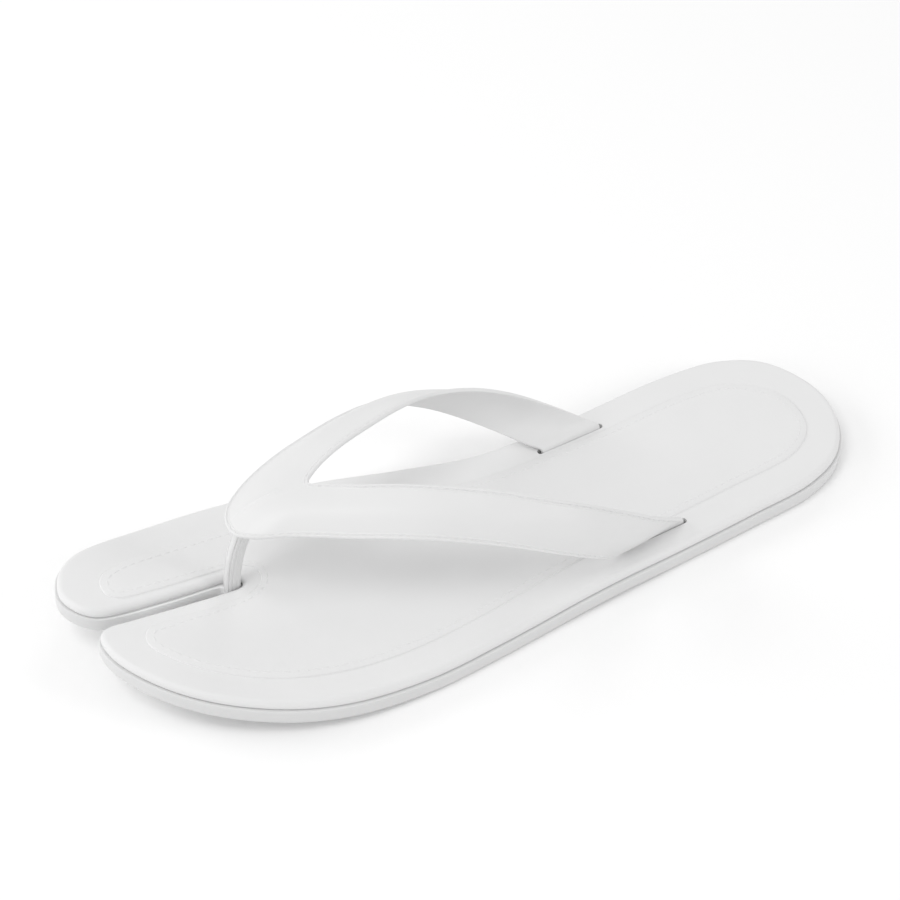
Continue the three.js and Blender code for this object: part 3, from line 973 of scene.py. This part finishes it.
@dataclass(frozen=True)
class Strap:
    """The strap: two smooth edges from the inner slot over the nose to the outer slot.

    A crowned body lies between them, with a thin flange along each side.

    Attributes:
        rear: Rear (upper) edge, with the crotch at its middle.
        front: Front (lower) edge, with the nose at its middle.
        swell: Share of the full crown at each row.
        nose: Row of the nose.
        edge: Half the flange's thickness.
        lip: Radius of the rounded edges.
        flange: Width of each flange.
        crown: Height of the crown over the flange.
        hollow: Depth of the hollow under face.
        channel: Depth of the stitch channel, its distance from the edge and its half width.
        crease: Depth and half width of the crease beside the flange.
        settle: How many times sooner than the crown the channel and the crease are at full depth.
        crown_power: Power of the crown's sine.
        hollow_power: Power of the hollow's sine.
        ridge: Height, half width and sideways bow of the ridge from the crotch to the nose.
        ridge_ends: Shares of its way between which the ridge rises, and between which it fades.
        ridge_rows: Rows on each side of the nose that the ridge keeps to.
        bow_power: Power that moves the bow's peak towards the nose.
        edge_places: Distances from an edge at which every section has a point.
        edge_share: Largest share of the width that they take up.
        crown_points: Points from the last of them to the middle.
        thread: One stitch in a flange.
        thread_spacing: Distance between two stitches.
        bare_rows: Rows without stitches at each end.
        steps: Sections made between two rows.
    """

    rear: Rows = (
        (61.2, 13.2, 6.9), (61, 13.5, 10.6), (56.4, 16.3, 13.8), (45.5, 21.2, 21.6), (29, 25.6, 33),
        (13.5, 27.7, 41), (-2, 27.3, 46.7), (-16, 23.5, 51.8), (-30, 19.5, 54.4), (-43.2, 16.1, 55.2),
        (-51.4, 13.8, 54.1), (-55.8, 12.1, 53), (-57.9, 10.9, 52.7), (-58.6, 10.1, 52.6),
        (-58.9, 9.3, 52.6), (-58.4, 8.4, 52.7), (-57.2, 7.3, 52.9), (-54.5, 5.2, 53.4),
        (-50.5, 2.2, 54.2), (-45.5, -1.6, 55), (-35, -8.1, 55.5), (-22, -16.5, 55), (-8, -25.4, 53.6),
        (6, -33.2, 49.4), (21, -37.5, 41.7), (35, -39.3, 31.9), (48, -39.5, 21.4), (57, -38.4, 14.4),
        (61, -37.5, 10.6), (61.2, -37.3, 6.9),
    )
    front: Rows = (
        (36.6, 13.2, 6.9), (36.6, 13.4, 10.4), (32, 17, 13), (24.5, 24, 17), (13, 30.3, 24.8),
        (2, 34.3, 32), (-9, 37.3, 37.4), (-20, 36.8, 42.8), (-34.4, 34.1, 46.6), (-50, 30.7, 48.1),
        (-59.5, 29.1, 47.6), (-69.4, 26.6, 46.7), (-78, 23.1, 45.8), (-84.2, 19, 44.8),
        (-87.4, 13.2, 44.6), (-87.3, 7.6, 45.2), (-82.2, 2.1, 46.2), (-74.5, -2.2, 46.8), (-66, -7.6, 47),
        (-57, -13.8, 47.2), (-45, -21.5, 47.7), (-32, -29, 46.5), (-18, -35, 42.3), (-6, -38.4, 36.4),
        (5, -41.1, 30.1), (16, -42.4, 23), (25.6, -41, 15.4), (31.6, -39.6, 11.8), (36, -37.7, 10.4),
        (36.4, -37.3, 6.9),
    )
    swell: tuple[float, ...] = (
        0, 0.1, 0.5, 0.9, 1, 1, 1, 1, 1, 1, 1, 1, 0.95, 0.9, 0.85, 0.9, 0.95, 1, 1, 1, 1, 1, 1, 1, 1, 1,
        0.7, 0.25, 0, 0,
    )
    nose: int = 14
    edge: float = 0.85
    lip: float = 0.6
    flange: float = 1.9
    crown: float = 2.0
    hollow: float = 1.0
    channel: tuple[float, float, float] = (0.32, 1.1, 0.24)
    crease: tuple[float, float] = (0.08, 0.3)
    settle: float = 4
    crown_power: float = 1.15
    hollow_power: float = 1.2
    ridge: tuple[float, float, float] = (0.36, 0.6, 1.5)
    ridge_ends: Rows = ((0.1, 0.4), (0.83, 0.93))
    ridge_rows: int = 4
    bow_power: float = 0.7
    edge_places: tuple[float, ...] = (
        0, 0.05, 0.16, 0.34, 0.55, 0.75, 0.88, 1, 1.1, 1.2, 1.32, 1.46, 1.62, 1.78, 1.9, 2.02, 2.2,
        2.6, 3.2,
    )
    edge_share: float = 0.4
    crown_points: int = 9
    thread: Stitch = Stitch(length=1.9, width=0.5, height=0.26)
    thread_spacing: float = 2.9
    bare_rows: int = 2
    steps: int = 16

    def frames(self) -> tuple[Array, Array, Array, Array]:
        """Edges, outward directions and crown shares along the strap.

        Returns:
            Rear edge points, front edge points, unit outward directions and shares of the crown.
        """
        rear, front = (spline(np.array(edge), self.steps) for edge in (self.rear, self.front))
        ahead = unit(np.gradient(rear, axis=0)) + unit(np.gradient(front, axis=0))
        out = unit(np.cross(front - rear, ahead))
        place = np.linspace(0, len(self.swell) - 1, len(rear))
        return rear, front, out, np.interp(place, np.arange(len(self.swell)), self.swell)

    def rounded(self, near: Array) -> Array:
        """Height of the rounded edge: a quarter of an oval, then level."""
        return self.edge * np.sqrt(1 - (1 - np.clip(near / self.lip, 0, 1)) ** 2)

    def outer(self, near: Array, width: Array, swell: Array) -> Array:
        """Height of the outer face: a rounded edge and a sine crown, less bells for channel and crease.

        Args:
            near: Distance from the nearer edge.
            width: Width of the strap there.
            swell: Share of the crown there.

        Returns:
            Heights over the strap's middle surface.
        """
        way = np.clip((near - self.flange) / (width / 2 - self.flange), 0, 1)
        crown = swell * self.crown * np.sin(np.pi / 2 * way) ** self.crown_power
        crease = self.crease[0] * np.exp(-(((near - self.flange) / self.crease[1]) ** 2))
        channel = self.channel[0] * np.exp(-(((near - self.channel[1]) / self.channel[2]) ** 2))
        return self.rounded(near) + crown - np.minimum(1, self.settle * swell) * (crease + channel)

    def under(self, near: Array, width: Array, swell: Array) -> Array:
        """Height of the under face: the same edge downwards, hollowed by a sine towards the middle."""
        hollow = np.sin(np.pi * near / width) ** self.hollow_power
        return swell * self.hollow * hollow - self.rounded(near)

    def fold(self, line: Array, share: Array) -> Array:
        """Height of the ridge on the nose: a bell across a bowed line from the crotch to the nose.

        Args:
            line: Points between the edges, section by share.
            share: Their way from the rear edge to the front edge.

        Returns:
            Heights to add to the outer face.
        """
        start, end = np.array(self.rear[self.nose]), np.array(self.front[self.nose])
        aside = unit(np.cross((0, 0, 1), end - start))
        height, half, reach = self.ridge
        bow = reach * np.sin(np.pi * (1 - share) ** self.bow_power)
        bell = np.exp(-((((line - start) @ aside + bow) / half) ** 2))
        row = np.linspace(0, len(self.rear) - 1, len(line))[:, None]
        (first, full), (fading, last) = self.ridge_ends
        rise = np.clip((share - first) / (full - first), 0, 1)
        fall = np.clip((last - share) / (last - fading), 0, 1)
        return height * bell * rise * fall * (np.abs(row - self.nose) < self.ridge_rows)

    def rings(self) -> Array:
        """Closed sections, outer face then under face: set distances near both edges, even shares between.

        Returns:
            Section number by place by coordinate.
        """
        rear, front, out, swell = self.frames()
        width = np.linalg.norm(front - rear, axis=1)[:, None]
        most = np.linspace(0, self.edge_share, len(self.edge_places))
        fixed = np.minimum(np.array(self.edge_places) / width, most)
        way = np.linspace(0, 1, self.crown_points)[None, 1:]
        between = fixed[:, -1:] + (0.5 - fixed[:, -1:]) * way
        half = np.hstack([fixed, between])
        share = np.hstack([half, 1 - half[:, -2::-1]])
        near = np.minimum(share, 1 - share) * width
        straight = rear[:, None] + (front - rear)[:, None] * share[..., None]
        top = self.outer(near, width, swell[:, None]) + self.fold(straight, share)
        below = self.under(near, width, swell[:, None])[:, -2:0:-1]
        line = np.concatenate([straight, straight[:, -2:0:-1]], axis=1)
        return line + out[:, None] * np.hstack([top, below])[..., None]

    def body(self) -> bpy.types.Object:
        """The closed strap as its own mesh."""
        return rod(self.rings(), "thong_upper")

    def stitches(self) -> bpy.types.Object:
        """The moulded stitches in the channels of both flanges.

        Returns:
            The stitches as one mesh.
        """
        skin = Skin()
        rear, front, out, _ = self.frames()
        width = np.linalg.norm(front - rear, axis=1)[:, None]
        first = self.bare_rows * self.steps
        last = (len(self.swell) - 1 - self.bare_rows) * self.steps
        for start, end in ((rear, front), (front, rear)):
            path = start + (end - start) * self.channel[1] / width + out * (self.edge - self.channel[0])
            both = evenly(np.hstack([path, out])[first:last], self.thread_spacing)
            middle, normal = both[:, :3], unit(both[:, 3:])
            along = unit(np.gradient(middle, axis=0))
            self.thread.place(skin, middle, along, normal)
        return skin.make("strap_stitches")


@dataclass(frozen=True)
class ToePost:
    """The post between the first two toes: leaning sections, nearly rectangular, with upright grooves.

    Attributes:
        middle: Points of its middle line.
        length: Size along the sandal at each point.
        width: Size across the sandal at each point.
        squareness: Power that squares the section, one for an oval.
        grooves: Places of the upright grooves round the section, in degrees from the heel side.
        groove: Depth of a groove as a share of the section, and its half width in degrees.
        sides: Points round a section.
        steps: Sections between two rows.
    """

    middle: Rows = (
        (-85.4, 14.7, 8.8), (-85.5, 14.6, 14.8), (-84.3, 14, 26.8), (-81.8, 13.1, 37.8),
        (-79.3, 12.3, 46.8),
    )
    length: tuple[float, ...] = (5.6, 5.6, 6.2, 6.8, 7.4)
    width: tuple[float, ...] = (4.2, 4.2, 4.2, 4.4, 6.2)
    squareness: float = 0.7
    grooves: tuple[float, ...] = (92, 130, 170, 225, 256, 274, 310)
    groove: tuple[float, float] = (0.12, 4.5)
    sides: int = 120
    steps: int = 8

    def squared(self, value: Array) -> Array:
        """Sines or cosines drawn towards the corners of a square, by a power that keeps their sign."""
        return np.sign(value) * np.abs(value) ** self.squareness

    def body(self) -> bpy.types.Object:
        """The closed post: a squared oval carried up its middle line, pinched at its upright grooves.

        Returns:
            The post as its own mesh.
        """
        line = spline(np.column_stack([self.middle, self.length, self.width]), self.steps)
        turn = 2 * np.pi * np.arange(self.sides) / self.sides
        off = (np.degrees(turn)[:, None] - np.array(self.grooves)) / self.groove[1]
        pinch = 1 - self.groove[0] * np.exp(-(off**2)).sum(axis=1)
        dx = line[:, 3:4] / 2 * (self.squared(np.cos(turn)) * pinch)[None]
        dy = line[:, 4:5] / 2 * (self.squared(np.sin(turn)) * pinch)[None]
        rings = np.stack([line[:, :1] + dx, line[:, 1:2] + dy, line[:, 2:3] + 0 * dx], axis=-1)
        return rod(rings, "post")


@dataclass
class Upper:
    """The strap and the toe post as one moulded piece, and the stitches moulded along the flanges.

    Attributes:
        strap: The strap.
        post: The toe post.
    """

    strap: Strap = field(default_factory=Strap)
    post: ToePost = field(default_factory=ToePost)

    def build(self) -> None:
        """Makes and dresses the upper's pieces."""
        made = self.strap.body()
        combine(made, [self.post.body()], Join.UNITE)
        dress(made, STRAP_RUBBER, "upper")
        dress(self.strap.stitches(), STRAP_RUBBER)


@dataclass(frozen=True)
class Studio:
    """A white floor in even light, a key softbox over the toes, low softboxes all round, and the camera.

    Attributes:
        pixels: Focal length in pixels of the image.
        sensor: Width of the camera's sensor.
        distance: Distance of the camera from the point over the part's origin, along its view.
        yaw: Turn of the view about the upright, in degrees.
        pitch: Tilt of the view below the level, in degrees.
        roll: Turn of the image, in degrees.
        shift: Place of that point in the camera's right and up directions.
        floor: Half the floor's side.
        rise: Height of the point that the camera's sizes are taken from.
        sky: Strength of the even light.
        softboxes: Direction about the upright and height in degrees, and power in watts, of each softbox.
        reach: Distance of the softboxes.
        side: Their side.
        paper: The floor's finish.
    """

    pixels: float = 2486.8
    sensor: float = 36
    distance: float = 854.86
    yaw: float = 34.47
    pitch: float = 47.96
    roll: float = 3.037
    shift: tuple[float, float] = (7.667, -29.099)
    floor: float = 4000
    rise: float = 0.8
    sky: float = 0.62
    softboxes: Rows = ((180, 62, 4.4), (180, 28, 2.2), (135, 28, 3.0), (45, 28, 1.5), (315, 28, 3.5))
    reach: float = 1400
    side: float = 550
    paper: MattPaper = MattPaper()

    def camera(self) -> None:
        """Places the camera: its axes turn by yaw, pitch and roll, and the origin lies at the shift."""
        yaw, pitch, roll = np.radians([self.yaw, self.pitch, self.roll])
        level = np.array([np.cos(yaw), -np.sin(yaw), 0])
        view = np.array([np.sin(yaw) * np.cos(pitch), np.cos(yaw) * np.cos(pitch), -np.sin(pitch)])
        above = np.cross(level, view)
        right = np.cos(roll) * level + np.sin(roll) * above
        up = np.cos(roll) * above - np.sin(roll) * level
        place = (0, 0, self.rise) - right * self.shift[0] - up * self.shift[1] - view * self.distance
        data = bpy.data.cameras.new("camera")
        data.sensor_width = self.sensor
        data.sensor_fit = "HORIZONTAL"
        data.lens = self.sensor * self.pixels / IMAGE_SIZE
        made = bpy.data.objects.new("camera", data)
        axes = np.column_stack([right, up, -view, place * MM])
        made.matrix_world = Matrix([*axes.tolist(), (0, 0, 0, 1)])
        bpy.context.scene.collection.objects.link(made)
        bpy.context.scene.camera = made

    def ground(self) -> None:
        """Lays the floor: a square sheet of matt white."""
        corners = np.array([(-1, -1, 0), (1, -1, 0), (1, 1, 0), (-1, 1, 0)]) * self.floor
        skin = Skin()
        skin.add(corners.astype(float), np.array([[0, 1, 2, 3]]))
        made = skin.make("studio_floor")
        made.data.materials.append(self.paper.material())

    def lights(self) -> None:
        """Sets the even light and the softboxes, each turned to the middle of the floor."""
        scene = bpy.context.scene
        world = scene.world or bpy.data.worlds.new("studio")
        scene.world = world
        world.use_nodes = True
        backdrop = world.node_tree.nodes["Background"]
        backdrop.inputs["Color"].default_value = linear("FFFFFF")
        backdrop.inputs["Strength"].default_value = self.sky
        for around, height, power in self.softboxes:
            turn, tilt = np.radians([around, height])
            way = (np.cos(turn) * np.cos(tilt), np.sin(turn) * np.cos(tilt), np.sin(tilt))
            place = Vector(way) * self.reach * MM
            data = bpy.data.lights.new("softbox", "AREA")
            data.size, data.energy = self.side * MM, power
            made = bpy.data.objects.new("softbox", data)
            made.location = place
            made.rotation_euler = (-place).to_track_quat("-Z", "Y").to_euler()
            scene.collection.objects.link(made)
        scene.view_settings.view_transform = "Standard"

    def build(self) -> None:
        """Sets up the floor, the lights and the camera."""
        self.ground()
        self.lights()
        self.camera()


def main() -> None:
    """Builds the sandal and its studio."""
    logging.basicConfig(level=logging.INFO)
    Studio().build()
    Sole().build()
    Upper().build()


if __name__ == "__main__":
    main()
